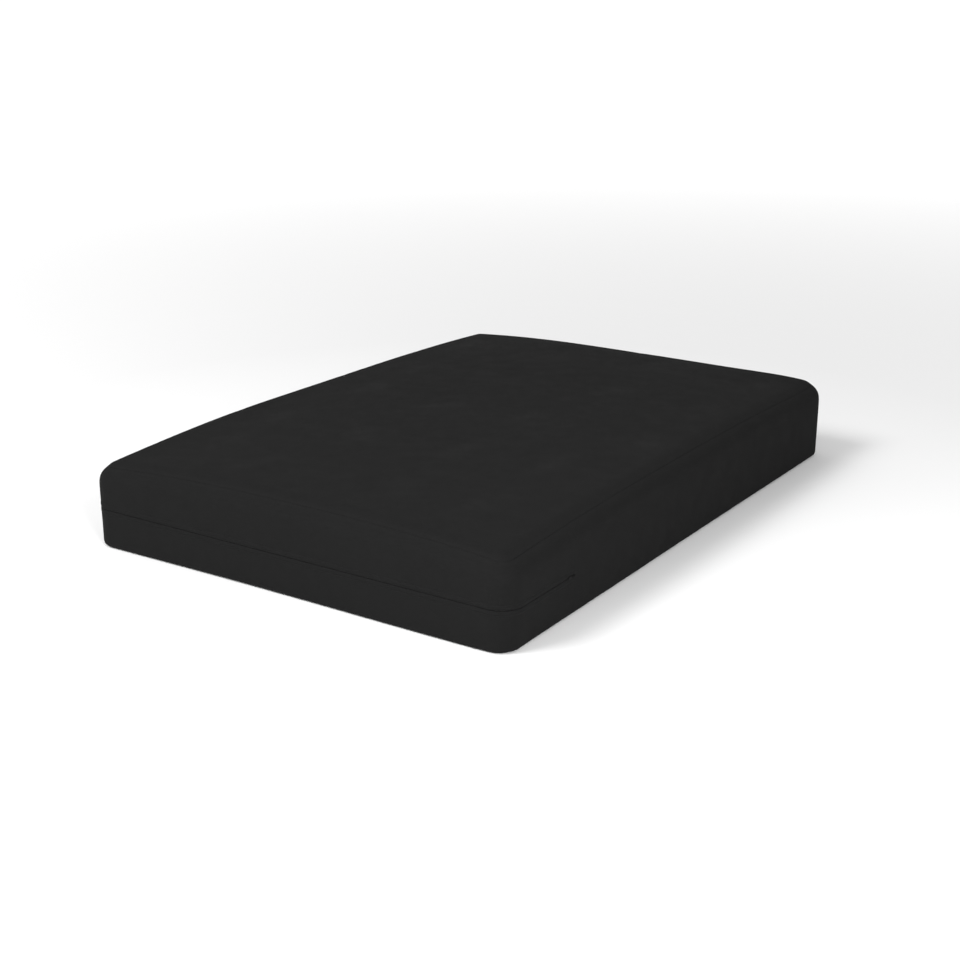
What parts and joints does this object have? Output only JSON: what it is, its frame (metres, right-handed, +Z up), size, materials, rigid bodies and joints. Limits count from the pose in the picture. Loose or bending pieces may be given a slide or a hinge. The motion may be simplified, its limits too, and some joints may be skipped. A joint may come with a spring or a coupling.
{
  "type": "futon mattress",
  "caption": "Thick futon mattress in a fitted dark woven cover with a concealed zip round one end; it bends lengthwise between seat and back.",
  "frame": {"origin": "on the floor, under the middle of the mattress lying flat", "axes": "+Z up, +Y along the length and away from the zipped end, +X across, from the seat half to the back half"},
  "size_m": [1.3695, 1.915, 0.2719],
  "materials": {
    "cover_fabric": "matte",
    "zip_tape": "matte",
    "zip_coil": "satin",
    "zip_metal": "satin",
    "ticking": "matte",
    "cotton_batting": "matte",
    "foam": "matte",
    "fibre": "matte",
    "tuft_twine": "matte"
  },
  "bodies": {
    "seat_half": {"cover_top_panel_seat": "cover_fabric", "cover_bottom_panel_seat": "cover_fabric", "zip_boxing_upper_seat": "cover_fabric", "zip_boxing_lower_seat": "cover_fabric", "plain_boxing_seat": "cover_fabric", "zip_tape_upper_seat": "zip_tape", "zip_tape_lower_seat": "zip_tape", "zip_coil_upper_seat": "zip_coil", "zip_coil_lower_seat": "zip_coil", "ticking_top_seat": "ticking", "ticking_border_seat": "ticking", "ticking_bottom_seat": "ticking", "bottom_batting_seat": "cotton_batting", "top_batting_seat": "cotton_batting", "lower_foam_slab_seat": "foam", "upper_foam_slab_seat": "foam", "fibre_core_seat": "fibre", "tuft_1_1": "tuft_twine", "tuft_1_2": "tuft_twine", "tuft_1_3": "tuft_twine", "tuft_1_4": "tuft_twine", "tuft_1_5": "tuft_twine", "tuft_2_1": "tuft_twine", "tuft_2_2": "tuft_twine", "tuft_2_3": "tuft_twine", "tuft_2_4": "tuft_twine", "tuft_2_5": "tuft_twine", "zip_bottom_stop": "zip_metal"},
    "back_half": {"cover_top_panel_back": "cover_fabric", "cover_bottom_panel_back": "cover_fabric", "zip_boxing_upper_back": "cover_fabric", "zip_boxing_lower_back": "cover_fabric", "plain_boxing_back": "cover_fabric", "zip_tape_upper_back": "zip_tape", "zip_tape_lower_back": "zip_tape", "zip_coil_upper_back": "zip_coil", "zip_coil_lower_back": "zip_coil", "ticking_top_back": "ticking", "ticking_border_back": "ticking", "ticking_bottom_back": "ticking", "bottom_batting_back": "cotton_batting", "top_batting_back": "cotton_batting", "lower_foam_slab_back": "foam", "upper_foam_slab_back": "foam", "fibre_core_back": "fibre", "tuft_3_1": "tuft_twine", "tuft_3_2": "tuft_twine", "tuft_3_3": "tuft_twine", "tuft_3_4": "tuft_twine", "tuft_3_5": "tuft_twine", "tuft_4_1": "tuft_twine", "tuft_4_2": "tuft_twine", "tuft_4_3": "tuft_twine", "tuft_4_4": "tuft_twine", "tuft_4_5": "tuft_twine", "zip_top_stop_upper": "zip_metal", "zip_top_stop_lower": "zip_metal"},
    "zip_slider": {"zip_slider": "zip_metal"},
    "zip_pull": {"zip_pull": "zip_metal"}
  },
  "joints": [
    {"name": "seat_back_fold", "type": "hinge", "parent": "seat_half", "child": "back_half", "pos_m": [0, 0, 0.274], "axis": [0, -1, 0], "range_deg": [0, 70], "stiffness_Nm_per_rad": 15},
    {"name": "zip_travel", "type": "slide", "parent": "back_half", "child": "zip_slider", "axis": [0, -1, 0], "range_m": [0, 0.2]},
    {"name": "pull_swing", "type": "hinge", "parent": "zip_slider", "child": "zip_pull", "pos_m": [0.6848, -0.6683, 0.112], "axis": [0, 0, 1], "range_deg": [0, 170]}
  ]
}
